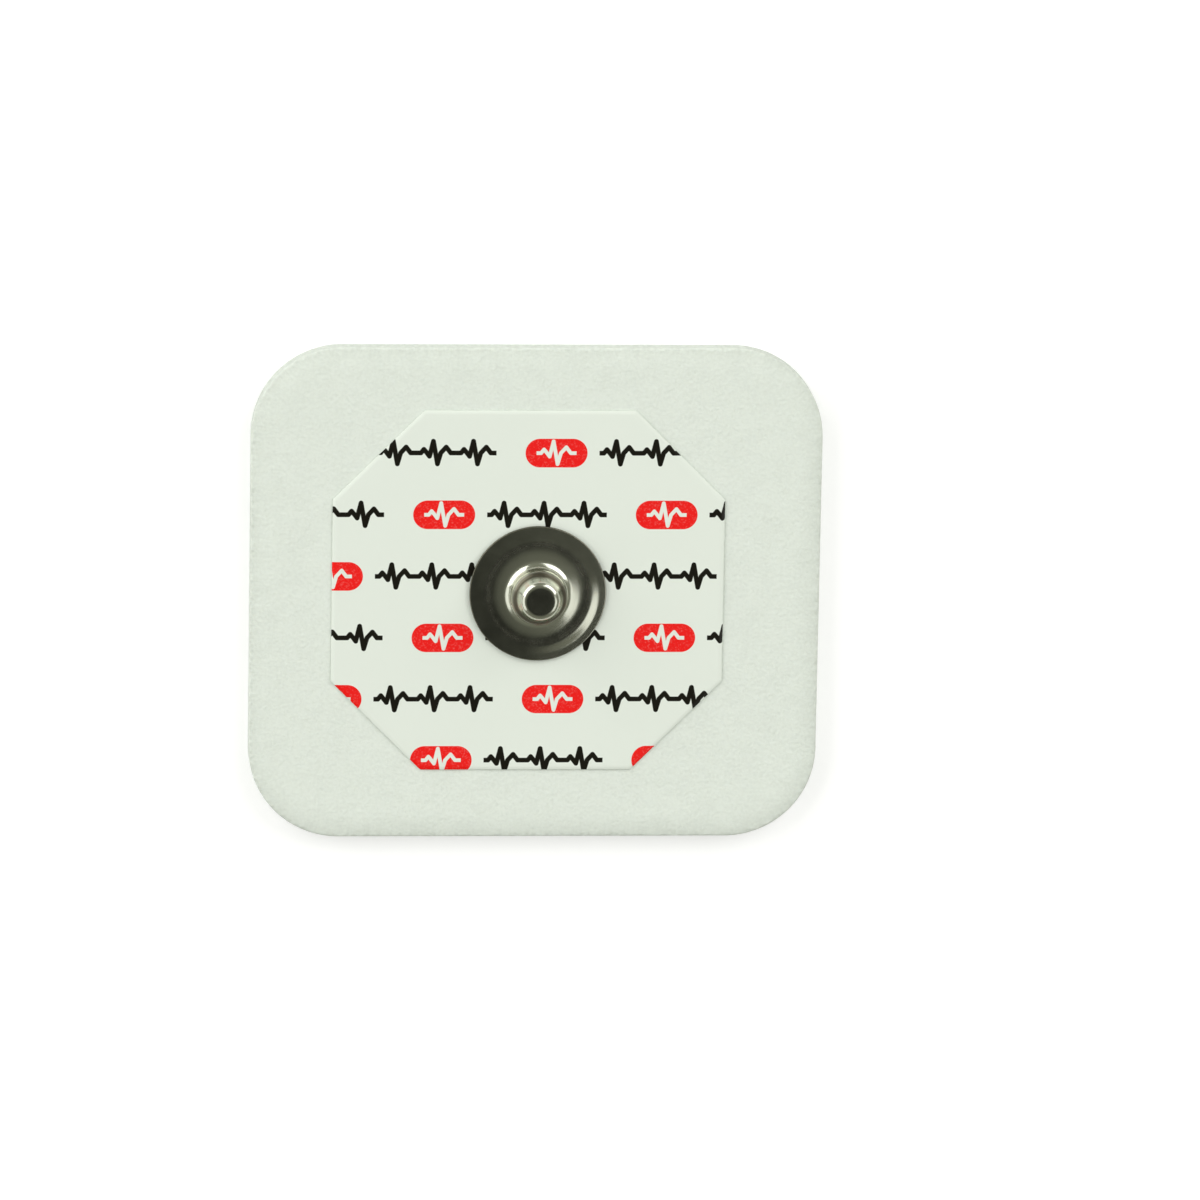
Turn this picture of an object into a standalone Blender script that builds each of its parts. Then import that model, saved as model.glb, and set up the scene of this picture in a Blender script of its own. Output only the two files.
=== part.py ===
"""Foam ECG monitoring electrode with a snap stud, in metres, +Z up.

The pad lies skin side down on Z = 0 and the stud points up. X runs along the pad's long
side and Y along its short side. The origin is the middle of the pad's skin side. The stud,
the sensor eyelet below it and the gel share one upright axis, a little off the middle.
"""

import math

import bmesh
import bpy

# Foam tape pad, die cut from a sheet that is adhesive on its skin side. The blade squeezes
# the foam, which leaves a soft shoulder of this width that slopes down by this drop
PAD_LENGTH = 0.0400
PAD_WIDTH = 0.0350
PAD_THICKNESS = 0.0016
PAD_CORNER_RADIUS = 0.00635
PAD_SHOULDER = 0.0020
PAD_SHOULDER_DROP = 0.00033
PAD_EDGE_ROUND = 0.00012
WELL_DIAMETER = 0.0160

# Cover label, a film rectangle with its four corners cut at 45 degrees
LABEL_LENGTH = 0.0275
LABEL_WIDTH = 0.0257
LABEL_CORNER_CUT = 0.00635
LABEL_THICKNESS = 0.00012
LABEL_OFF_CENTRE_X = -0.00055
LABEL_OFF_CENTRE_Y = 0.00026

# Axis that the stud, the eyelet and the gel share
SNAP_OFF_CENTRE_X = 0.00013
SNAP_OFF_CENTRE_Y = 0.00013

# Snap stud, pressed from one disc of thin sheet. Bends give the radius on their inner side
SHEET = 0.00020
FLANGE_DIAMETER = 0.0096
RIM_WIDTH = 0.0013
RIM_SLOPE = math.radians(3)
RIM_LIFT = 0.00007
RIM_CREST_BEND = 0.00090
RIM_STEP_WIDTH = 0.00070
GROOVE_BEND = 0.00035
DISH_BEND = 0.0040
FOOT_BEND = 0.00075
NECK_UNDERCUT = 0.00015
NECK_BEND = 0.00012
BALL_DIAMETER = 0.00396
BALL_BEND = 0.00020
VALLEY_BEND = 0.00012
VALLEY_LEAN = math.radians(65)
NUB_FLAT_DIAMETER = 0.0020
NUB_BEND = 0.00025
NUB_HEIGHT = 0.00115
BEND_SPACING = 0.00002

# Sensor eyelet, moulded plastic with a silver chloride coat. Its flange reaches out past the
# stud's by a margin, so that the label is clamped between the two
EYELET_MARGIN = 0.00020
EYELET_THICKNESS = 0.00040
EYELET_EDGE_ROUND = 0.00015

# Conductive gel that fills the well below the eyelet
GEL_RECESS = 0.00005
GEL_EDGE_ROUND = 0.00020

# Clearances: the glue line between stacked layers, and the gap round a piece in its seat
GLUE_LINE = 0.00003
FIT_GAP = 0.00004

# Fineness of the facets
TURN_SEGMENTS = 40
BEND_STEP = math.radians(18)
CORNER_STEPS = 8
SHOULDER_STEPS = 6
CUTTER_OVERRUN = 0.0010
WELD_DISTANCE = 1e-7
SHARP_ANGLE = math.radians(35)

# Heights of the layers above the skin side
LABEL_BOTTOM = PAD_THICKNESS + GLUE_LINE
LABEL_TOP = LABEL_BOTTOM + LABEL_THICKNESS
STUD_SEAT = LABEL_TOP + GLUE_LINE

# Radii that two pieces share
FLANGE_RADIUS = FLANGE_DIAMETER / 2
EYELET_RADIUS = FLANGE_RADIUS + EYELET_MARGIN
POST_RADIUS = BALL_DIAMETER / 2 - NECK_UNDERCUT - SHEET - FIT_GAP


def clear_scene():
    """Removes every object that the scene starts with."""
    for old in list(bpy.data.objects):
        bpy.data.objects.remove(old, do_unlink=True)


def make_material(name, colour, roughness, metallic=0.0, alpha=1.0):
    """A Principled material with one linear colour."""
    material = bpy.data.materials.new(name)
    material.use_nodes = True
    shader = material.node_tree.nodes["Principled BSDF"]
    shader.inputs["Base Color"].default_value = (*colour, 1.0)
    shader.inputs["Roughness"].default_value = roughness
    shader.inputs["Metallic"].default_value = metallic
    shader.inputs["Alpha"].default_value = alpha
    material.diffuse_color = (*colour, 1.0)
    return material


def finish(name, bm, material=None, parent=None):
    """Turns a bmesh into a named, smooth-shaded object with its faces pointing out."""
    bmesh.ops.recalc_face_normals(bm, faces=bm.faces)
    mesh = bpy.data.meshes.new(name)
    bm.to_mesh(mesh)
    bm.free()
    mesh.shade_smooth()
    mesh.set_sharp_from_angle(angle=SHARP_ANGLE)
    if material:
        mesh.materials.append(material)
    piece = bpy.data.objects.new(name, mesh)
    bpy.context.scene.collection.objects.link(piece)
    piece.parent = parent
    return piece


def finish_cutter(name, bm, parent=None):
    """A solid that only cuts: it is drawn as wire and never rendered."""
    cutter = finish(name, bm, parent=parent)
    cutter.hide_render = True
    cutter.display_type = "WIRE"
    return cutter


def cut(piece, cutter):
    """Takes the cutter's solid out of the piece, and keeps its large flat faces even."""
    boolean = piece.modifiers.new(cutter.name, "BOOLEAN")
    boolean.operation = "DIFFERENCE"
    boolean.solver = "EXACT"
    boolean.object = cutter
    shading = piece.modifiers.new("even_faces", "WEIGHTED_NORMAL")
    shading.keep_sharp = True


def arc(centre_r, centre_z, radius, first, last):
    """Points of an arc from the angle first to the angle last, both included.

    A negative radius puts the points on the far side of the centre, where the surface is
    hollow and not crowned.
    """
    steps = max(1, math.ceil(abs(last - first) / BEND_STEP))
    angles = [first + (last - first) * step / steps for step in range(steps + 1)]
    return [(centre_r + radius * math.cos(a), centre_z + radius * math.sin(a)) for a in angles]


def belt(rollers, first_angle, last_angle, inset=0.0):
    """Section of a sheet that runs over and under a row of rollers, as (r, z) points.

    A roller is (r, z, bend). The outline passes over it where bend is positive and under it
    where bend is negative, and between two rollers it is the straight line that touches
    both. The angles are those of the outline's normal at its two ends. The inset moves the
    whole outline that far into the metal.
    """
    turns = [first_angle]
    for (r1, z1, bend1), (r2, z2, bend2) in zip(rollers, rollers[1:]):
        distance = math.hypot(r2 - r1, z2 - z1)
        heading = math.atan2(z2 - z1, r2 - r1)
        turns.append(heading + math.acos((bend1 - bend2) / distance))
    turns.append(last_angle)
    points = []
    for (r, z, bend), first, last in zip(rollers, turns, turns[1:]):
        points += arc(r, z, bend - inset, first, last)
    return points


def turned(profile):
    """A solid turned about Z from an open profile whose two ends lie on the axis."""
    bm = bmesh.new()
    corners = [bm.verts.new((r, 0.0, z)) for r, z in profile]
    edges = [bm.edges.new(pair) for pair in zip(corners, corners[1:])]
    bmesh.ops.spin(
        bm,
        geom=corners + edges,
        cent=(0.0, 0.0, 0.0),
        axis=(0.0, 0.0, 1.0),
        angle=math.tau,
        steps=TURN_SEGMENTS,
        use_merge=True,
        use_duplicate=False,
    )
    bmesh.ops.remove_doubles(bm, verts=bm.verts, dist=WELD_DISTANCE)
    return bm


def drum(radius, bottom, top):
    """Profile of a plain cylinder."""
    return [(0.0, bottom), (radius, bottom), (radius, top), (0.0, top)]


def stacked(layers):
    """A solid through a stack of (outline, height) layers whose outlines match point by point.

    Neighbouring layers are joined all round by quads, and the first and last are capped.
    """
    bm = bmesh.new()
    rings = [[bm.verts.new((x, y, height)) for x, y in outline] for outline, height in layers]
    bm.faces.new(rings[0])
    bm.faces.new(rings[-1])
    for lower, upper in zip(rings, rings[1:]):
        for corner in range(len(lower)):
            bm.faces.new((lower[corner - 1], lower[corner], upper[corner], upper[corner - 1]))
    return bm


def rounded_rectangle(length, width, radius):
    """Outline of a rectangle about the origin with four round corners."""
    points = []
    for turn, (side_x, side_y) in enumerate(((1, 1), (-1, 1), (-1, -1), (1, -1))):
        centre_x = side_x * (length / 2 - radius)
        centre_y = side_y * (width / 2 - radius)
        for step in range(CORNER_STEPS + 1):
            angle = math.pi / 2 * (turn + step / CORNER_STEPS)
            points.append((centre_x + radius * math.cos(angle), centre_y + radius * math.sin(angle)))
    return points


def cut_rectangle(length, width, cut_length, centre_x, centre_y):
    """Outline of a rectangle whose corners are cut off at 45 degrees."""
    points = []
    for side_x, side_y in ((1, 1), (-1, 1), (-1, -1), (1, -1)):
        along_x = (side_x * (length / 2 - cut_length), side_y * width / 2)
        along_y = (side_x * length / 2, side_y * (width / 2 - cut_length))
        corner = [along_y, along_x] if side_x == side_y else [along_x, along_y]
        points += [(centre_x + x, centre_y + y) for x, y in corner]
    return points


def stud_rollers():
    """Rollers for the stud's upper skin, from the nub at its top out to the rim's crest.

    A crowned bend is the inner bend radius plus the sheet, and a hollow one is the inner
    bend radius itself, because there the skin is on the inner side. The heights build up
    from the seat on the label: groove, dish, foot, neck, ball, valley and nub.
    """
    groove_r = FLANGE_RADIUS - RIM_WIDTH
    groove_z = STUD_SEAT + SHEET + GROOVE_BEND
    dish_z = groove_z + DISH_BEND - GROOVE_BEND + BEND_SPACING

    ball_bend = BALL_BEND + SHEET
    ball_r = BALL_DIAMETER / 2 - ball_bend
    neck_radius = BALL_DIAMETER / 2 - NECK_UNDERCUT

    foot_r = neck_radius + FOOT_BEND
    dish_reach = DISH_BEND - FOOT_BEND + BEND_SPACING
    foot_z = dish_z - math.sqrt(dish_reach**2 - (groove_r - foot_r) ** 2)

    neck_r = neck_radius + NECK_BEND
    neck_z = foot_z + BEND_SPACING
    neck_reach = ball_bend + NECK_BEND + BEND_SPACING
    ball_z = neck_z + math.sqrt(neck_reach**2 - (neck_r - ball_r) ** 2)

    valley_reach = ball_bend + VALLEY_BEND + BEND_SPACING
    valley_r = ball_r + valley_reach * math.cos(VALLEY_LEAN)
    valley_z = ball_z + valley_reach * math.sin(VALLEY_LEAN)

    nub_bend = NUB_BEND + SHEET
    nub_z = ball_z + ball_bend + NUB_HEIGHT - nub_bend

    crest_r = groove_r + RIM_STEP_WIDTH
    crest_drop = RIM_CREST_BEND - (FLANGE_RADIUS - crest_r) * math.sin(RIM_SLOPE)
    crest_z = STUD_SEAT + RIM_LIFT - crest_drop / math.cos(RIM_SLOPE)
    return {
        "nub": (NUB_FLAT_DIAMETER / 2, nub_z, nub_bend),
        "valley": (valley_r, valley_z, -VALLEY_BEND),
        "ball": (ball_r, ball_z, ball_bend),
        "neck": (neck_r, neck_z, -NECK_BEND),
        "foot": (foot_r, foot_z, -FOOT_BEND),
        "dish": (groove_r, dish_z, -DISH_BEND),
        "groove": (groove_r, groove_z, -GROOVE_BEND),
        "crest": (crest_r, crest_z, RIM_CREST_BEND + SHEET),
    }


def pad_section():
    """Section of the pad's outer side as (inset, height) points, from the skin side up.

    The cut wall is upright. Above its round edge the shoulder climbs to the flat top, steep
    at first and level at its end, so what is left to climb goes with the square of what is
    left of the width.
    """
    climb_angle = math.atan2(2 * PAD_SHOULDER_DROP, PAD_SHOULDER - PAD_EDGE_ROUND)
    edge_height = PAD_THICKNESS - PAD_SHOULDER_DROP
    round_centre = edge_height - PAD_EDGE_ROUND * math.cos(climb_angle)
    edge = arc(-PAD_EDGE_ROUND, round_centre, PAD_EDGE_ROUND, 0.0, math.pi / 2 - climb_angle)
    section = [(0.0, 0.0)] + [(-r, z) for r, z in edge]
    shoulder_start = section[-1][0]
    for step in range(1, SHOULDER_STEPS + 1):
        climbed = step / SHOULDER_STEPS
        inset = shoulder_start + (PAD_SHOULDER - shoulder_start) * climbed
        section.append((inset, PAD_THICKNESS - PAD_SHOULDER_DROP * (1 - climbed) ** 2))
    return section


def make_foam_pad(well_cutter):
    """The soft pad: a slab with round corners, a soft upper shoulder and the gel well."""
    layers = []
    for inset, height in pad_section():
        length, width = PAD_LENGTH - 2 * inset, PAD_WIDTH - 2 * inset
        layers.append((rounded_rectangle(length, width, PAD_CORNER_RADIUS - inset), height))
    foam = make_material("white_foam", (0.72, 0.78, 0.70), 0.85)
    cut(finish("foam_pad", stacked(layers), foam), well_cutter)


def make_cover_label(post_hole_cutter):
    """The film over the well, with a hole in it for the eyelet's post."""
    outline = cut_rectangle(
        LABEL_LENGTH, LABEL_WIDTH, LABEL_CORNER_CUT, LABEL_OFF_CENTRE_X, LABEL_OFF_CENTRE_Y
    )
    film_solid = stacked([(outline, LABEL_BOTTOM), (outline, LABEL_TOP)])
    film = make_material("white_film", (0.74, 0.79, 0.76), 0.35)
    cut(finish("cover_label", film_solid, film), post_hole_cutter)


def make_snap_stud(rollers, snap_axis):
    """The pressed metal stud: nub, ball, neck, dished flange, groove and sloping rim."""
    path = list(rollers.values())
    rim_normal = math.pi / 2 - RIM_SLOPE
    upper_skin = belt(path, math.pi / 2, rim_normal)
    lower_skin = belt(path, math.pi / 2, rim_normal, inset=SHEET)
    nub_top = upper_skin[0][1]
    lower_corner = (FLANGE_RADIUS, STUD_SEAT + RIM_LIFT)
    upper_corner = (FLANGE_RADIUS, lower_corner[1] + SHEET / math.cos(RIM_SLOPE))
    profile = [
        (0.0, nub_top),
        *upper_skin,
        upper_corner,
        lower_corner,
        *reversed(lower_skin),
        (0.0, nub_top - SHEET),
    ]
    metal = make_material("polished_nickel", (0.55, 0.54, 0.50), 0.18, metallic=1.0)
    finish("snap_stud", turned(profile), metal, snap_axis)


def make_sensor_eyelet(rollers, snap_axis):
    """The coated eyelet: a flange under the label and a post that fills the stud's ball."""
    head_inset = SHEET + FIT_GAP
    head = belt([rollers["ball"], rollers["neck"]], math.pi / 2, 0.0, inset=head_inset)
    flange_top = PAD_THICKNESS
    flange_bottom = flange_top - EYELET_THICKNESS
    round_r = EYELET_RADIUS - EYELET_EDGE_ROUND
    rim = arc(round_r, flange_top - EYELET_EDGE_ROUND, EYELET_EDGE_ROUND, math.pi / 2, 0.0)
    rim += arc(round_r, flange_bottom + EYELET_EDGE_ROUND, EYELET_EDGE_ROUND, 0.0, -math.pi / 2)
    profile = [(0.0, head[0][1]), *head, (POST_RADIUS, flange_top), *rim, (0.0, flange_bottom)]
    coated = make_material("silver_chloride", (0.30, 0.29, 0.28), 0.5, metallic=0.3)
    finish("sensor_eyelet", turned(profile), coated, snap_axis)


def make_gel_disc(snap_axis):
    """The gel: it fills the well, and the eyelet's flange sits in a recess in its top."""
    gel_radius = WELL_DIAMETER / 2 - FIT_GAP
    recess_radius = EYELET_RADIUS + FIT_GAP
    recess_bottom = PAD_THICKNESS - EYELET_THICKNESS - FIT_GAP
    lower_edge = arc(
        gel_radius - GEL_EDGE_ROUND, GEL_RECESS + GEL_EDGE_ROUND, GEL_EDGE_ROUND, -math.pi / 2, 0.0
    )
    profile = [
        (0.0, GEL_RECESS),
        *lower_edge,
        (gel_radius, PAD_THICKNESS),
        (recess_radius, PAD_THICKNESS),
        (recess_radius, recess_bottom),
        (0.0, recess_bottom),
    ]
    gel = make_material("clear_gel", (0.62, 0.72, 0.74), 0.1, alpha=0.6)
    finish("gel_disc", turned(profile), gel, snap_axis)


def build():
    clear_scene()
    snap_axis = bpy.data.objects.new("snap_axis", None)
    snap_axis.location = (SNAP_OFF_CENTRE_X, SNAP_OFF_CENTRE_Y, 0.0)
    bpy.context.scene.collection.objects.link(snap_axis)

    rollers = stud_rollers()
    well_drum = drum(WELL_DIAMETER / 2, -CUTTER_OVERRUN, PAD_THICKNESS + CUTTER_OVERRUN)
    hole_drum = drum(POST_RADIUS + FIT_GAP, LABEL_BOTTOM - CUTTER_OVERRUN, LABEL_TOP + CUTTER_OVERRUN)
    well_cutter = finish_cutter("well_cutter", turned(well_drum), snap_axis)
    hole_cutter = finish_cutter("hole_cutter", turned(hole_drum), snap_axis)

    make_foam_pad(well_cutter)
    make_cover_label(hole_cutter)
    make_snap_stud(rollers, snap_axis)
    make_sensor_eyelet(rollers, snap_axis)
    make_gel_disc(snap_axis)


build()
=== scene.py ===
"""A foam ECG electrode with a snap stud, lying skin side down on a pale table.

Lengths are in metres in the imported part's own frame, +Z up, unless a name ends in _MM.
"""

import math

import bmesh
import bpy
import numpy as np
from mathutils import Matrix, Vector


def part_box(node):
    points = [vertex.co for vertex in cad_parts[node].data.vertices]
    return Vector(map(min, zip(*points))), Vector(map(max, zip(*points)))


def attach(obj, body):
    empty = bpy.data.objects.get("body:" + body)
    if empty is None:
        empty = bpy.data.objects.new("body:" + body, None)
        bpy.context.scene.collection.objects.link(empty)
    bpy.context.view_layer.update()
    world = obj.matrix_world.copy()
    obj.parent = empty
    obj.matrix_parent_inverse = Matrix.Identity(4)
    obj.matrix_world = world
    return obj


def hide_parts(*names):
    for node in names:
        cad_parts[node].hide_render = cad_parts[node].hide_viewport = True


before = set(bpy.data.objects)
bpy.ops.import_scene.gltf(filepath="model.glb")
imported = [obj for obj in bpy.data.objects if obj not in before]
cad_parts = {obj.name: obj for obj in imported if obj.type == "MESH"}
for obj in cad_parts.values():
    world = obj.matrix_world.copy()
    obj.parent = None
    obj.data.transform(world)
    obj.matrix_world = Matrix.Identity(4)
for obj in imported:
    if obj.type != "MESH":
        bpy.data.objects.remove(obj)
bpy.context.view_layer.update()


# Foam pad. White closed-cell foam tape, die cut to a rounded rectangle with a round well in
# its middle. The blade squeezes the foam as it cuts, so the upper edge is pillowed and the
# cut wall is a little hollow. The skin side carries the tape's clear adhesive.

PAD_CORNER_RADIUS = 0.00635
PAD_SHOULDER = 0.0017
PAD_SHOULDER_DROP = 0.00016
PAD_UPPER_ROUND = 0.00020
PAD_LOWER_ROUND = 0.00010
PAD_WALL_HOLLOW = 0.00005
PAD_FLAT_MARGIN = 0.0030
PAD_RIPPLE = 0.000007
WELL_RADIUS = 0.0080
FOAM_CELL = 0.00034
COAT_HEIGHT = 0.00006
COAT_FADE = 0.00003
FOAM_COLOUR = (0.745, 0.793, 0.729, 1.0)
FOAM_DEEP_COLOUR = (0.630, 0.672, 0.614, 1.0)
WELD_DISTANCE = 1e-7


def ring_of(corners, side_steps, corner_steps):
    """Centres and outward directions of a ring that rolls round a convex outline.

    Along a side the centre slides from one corner to the next and the direction is the
    side's own normal. At a corner the centre stays and the direction swings to the next
    side's normal. The ring at a distance d is then centre + d * direction. Corners run
    counter-clockwise.
    """
    following = np.roll(corners, -1, axis=0)
    side = following - corners
    normal = np.arctan2(side[:, 1], side[:, 0]) - math.pi / 2
    turn = (np.roll(normal, -1) - normal + math.pi) % math.tau - math.pi
    slide = np.arange(side_steps) / side_steps
    swing = np.arange(corner_steps) / corner_steps
    on_side = corners[:, None] + slide[None, :, None] * side[:, None]
    at_corner = np.repeat(following[:, None], corner_steps, axis=1)
    side_angle = np.repeat(normal[:, None], side_steps, axis=1)
    corner_angle = normal[:, None] + swing[None, :] * turn[:, None]
    centres = np.concatenate([on_side, at_corner], axis=1).reshape(-1, 2)
    angles = np.concatenate([side_angle, corner_angle], axis=1).reshape(-1)
    return centres, np.stack([np.cos(angles), np.sin(angles)], axis=-1)


def quarter(steps):
    """Sine and cosine along a quarter turn, both ends included."""
    angle = np.linspace(0.0, math.pi / 2, steps + 1)
    return np.sin(angle), np.cos(angle)


def ripple(x, y, shortest, longest, seed):
    """An even, random unevenness between about -2 and 2 over the plane.

    It is the sum of plane waves in random directions, with wavelengths between the shortest
    and the longest, divided by the square root of half their number.
    """
    waves = 48
    draw = np.random.default_rng(seed)
    heading = draw.uniform(0.0, math.tau, waves)
    number = math.tau / draw.uniform(shortest, longest, waves)
    phase = draw.uniform(0.0, math.tau, waves)
    along = x[..., None] * np.cos(heading) + y[..., None] * np.sin(heading)
    return np.sin(along * number + phase).sum(axis=-1) / math.sqrt(waves / 2)


def ring_mesh(name, points, closed_section):
    """A mesh over a (rows, columns, 3) array of points in which every row is a closed ring.

    Each face joins two neighbours in a row to the same two in the next row. With a closed
    section the last row joins the first, as on a tyre. Otherwise the first and last rows are
    single points on the axis, and their doubles are merged into poles.
    """
    rows, columns, _ = points.shape
    column = np.arange(columns)
    here = np.arange(rows if closed_section else rows - 1)[:, None] * columns
    there = (here + columns) % (rows * columns)
    beside = (column + 1) % columns
    quads = np.stack([here + column, here + beside, there + beside, there + column], axis=-1)
    mesh = bpy.data.meshes.new(name)
    mesh.vertices.add(rows * columns)
    mesh.vertices.foreach_set("co", points.reshape(-1))
    mesh.loops.add(quads.size)
    mesh.loops.foreach_set("vertex_index", quads.reshape(-1))
    mesh.polygons.add(quads.size // 4)
    mesh.polygons.foreach_set("loop_start", np.arange(0, quads.size, 4))
    mesh.update(calc_edges=True)
    return mesh


def finish_piece(name, mesh, material):
    """Merges doubles, turns the faces outwards, shades them smooth and links the object."""
    shape = bmesh.new()
    shape.from_mesh(mesh)
    bmesh.ops.remove_doubles(shape, verts=shape.verts, dist=WELD_DISTANCE)
    bmesh.ops.recalc_face_normals(shape, faces=shape.faces)
    shape.to_mesh(mesh)
    shape.free()
    mesh.shade_smooth()
    mesh.materials.append(material)
    piece = bpy.data.objects.new(name, mesh)
    bpy.context.scene.collection.objects.link(piece)
    return piece


class Field:
    """A shader socket that takes part in Python arithmetic, with one Math node for each sign."""

    def __init__(self, nodes, socket):
        self.nodes = nodes
        self.socket = socket

    def math(self, operation, *others):
        sockets = dict(enumerate((self, *others)))
        return self.nodes.node("ShaderNodeMath", {"operation": operation}, sockets)

    def __add__(self, other):
        return self.math("ADD", other)

    def __sub__(self, other):
        return self.math("SUBTRACT", other)

    def __rsub__(self, other):
        return self.nodes.node("ShaderNodeMath", {"operation": "SUBTRACT"}, {0: other, 1: self})

    def __mul__(self, other):
        return self.math("MULTIPLY", other)

    def __truediv__(self, other):
        return self.math("DIVIDE", other)

    def __abs__(self):
        return self.math("ABSOLUTE")

    __radd__ = __add__
    __rmul__ = __mul__


class Nodes:
    """A node tree that hands out its nodes' outputs as fields."""

    def __init__(self, tree):
        self.tree = tree

    def node(self, kind, settings=None, sockets=None, output=0):
        """Adds a node: its settings first, then its sockets. The stops of a ramp are a setting."""
        node = self.tree.nodes.new(kind)
        for name, value in (settings or {}).items():
            if name == "stops":
                self.set_stops(node.color_ramp.elements, value)
            else:
                setattr(node, name, value)
        for name, value in (sockets or {}).items():
            self.feed(node.inputs[name], value)
        return Field(self, node.outputs[output])

    def set_stops(self, elements, stops):
        """Gives a ramp, which starts with two stops, a grey for each of these positions."""
        while len(elements) < len(stops):
            elements.new(1.0)
        for element, (position, grey) in zip(elements, stops):
            element.position = position
            element.color = (grey, grey, grey, 1.0)

    def feed(self, socket, value):
        """Links a field into a socket, or sets the socket to a number or a colour."""
        if isinstance(value, Field):
            self.tree.links.new(value.socket, socket)
        else:
            socket.default_value = value

    def mix(self, factor, first, second):
        """The first colour where the factor is 0 and the second where it is 1."""
        return self.node("ShaderNodeMix", {"data_type": "RGBA"}, {0: factor, 6: first, 7: second}, 2)

    def noise(self, place, size, detail=2.0):
        """Cloudy noise between 0 and 1 whose lumps are about the given size."""
        sockets = {"Vector": place, "Scale": 1 / size, "Detail": detail}
        return self.node("ShaderNodeTexNoise", {}, sockets, "Fac")

    def bump(self, height, distance):
        """A normal for a height between 0 and 1 that stands for this distance."""
        return self.node("ShaderNodeBump", {}, {"Height": height, "Distance": distance}, "Normal")


def new_material(name, **sockets):
    """A Principled material. Returns it with its nodes and with its surface's sockets."""
    material = bpy.data.materials.new(name)
    material.use_nodes = True
    surface = material.node_tree.nodes["Principled BSDF"].inputs
    for socket, value in sockets.items():
        surface[socket.replace("_", " ")].default_value = value
    return material, Nodes(material.node_tree), surface


def foam_section():
    """The pad's section as arrays of (distance from the corner centres, height, share to the well).

    It starts at the bottom of the outer wall and goes up the wall, over the soft shoulder, in
    along the top, down the well and out along the skin side. The wall is hollow by a sine.
    What is left to climb on the shoulder goes with the square of what is left of its width,
    and the round edge below it turns through the angle that meets the shoulder's first slope.
    """
    top = pad_high.z - pad_low.z
    edge = PAD_CORNER_RADIUS
    sine, cosine = quarter(5)
    lower = (edge - PAD_LOWER_ROUND * (1 - sine), PAD_LOWER_ROUND * (1 - cosine))
    first_slope = math.atan2(2 * PAD_SHOULDER_DROP, PAD_SHOULDER - PAD_UPPER_ROUND)
    turn = np.linspace(0.0, math.pi / 2 - first_slope, 7)
    shoulder_edge = top - PAD_SHOULDER_DROP
    wall_top = shoulder_edge - PAD_UPPER_ROUND * math.cos(first_slope)
    climb = np.linspace(0.0, 1.0, 12)[1:-1]
    wall = (
        edge - PAD_WALL_HOLLOW * np.sin(math.pi * climb),
        PAD_LOWER_ROUND + (wall_top - PAD_LOWER_ROUND) * climb,
    )
    upper = (edge - PAD_UPPER_ROUND * (1 - np.cos(turn)), wall_top + PAD_UPPER_ROUND * np.sin(turn))
    shoulder_start = edge - upper[0][-1]
    left = np.linspace(1.0, 0.0, 26)[1:]
    inset = PAD_SHOULDER - (PAD_SHOULDER - shoulder_start) * left
    shoulder = (edge - inset, top - PAD_SHOULDER_DROP * left**2)
    inset = np.linspace(PAD_SHOULDER, PAD_FLAT_MARGIN, 6)[1:]
    margin = (edge - inset, np.full(inset.shape, top))
    outside = [lower, wall, upper, shoulder, margin]
    reach = np.concatenate([part[0] for part in outside])
    height = np.concatenate([part[1] for part in outside])
    inner = edge - PAD_FLAT_MARGIN
    inwards = np.linspace(0.0, 1.0, 18)[1:]
    down = np.linspace(1.0, 0.0, 9)[1:]
    outwards = np.linspace(1.0, 0.0, 12)[1:]
    last = np.linspace(inner, edge - PAD_LOWER_ROUND, 10)[1:-1]
    reach = np.concatenate([reach, np.full(len(inwards) + len(down) + len(outwards), inner), last])
    share = np.concatenate(
        [np.zeros_like(height), inwards, np.ones_like(down), outwards, np.zeros_like(last)]
    )
    flat_top = np.full(inwards.shape, top)
    flat_bottom = np.zeros(len(outwards) + len(last))
    height = np.concatenate([height, flat_top, top * down, flat_bottom])
    return reach, height, share


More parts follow.
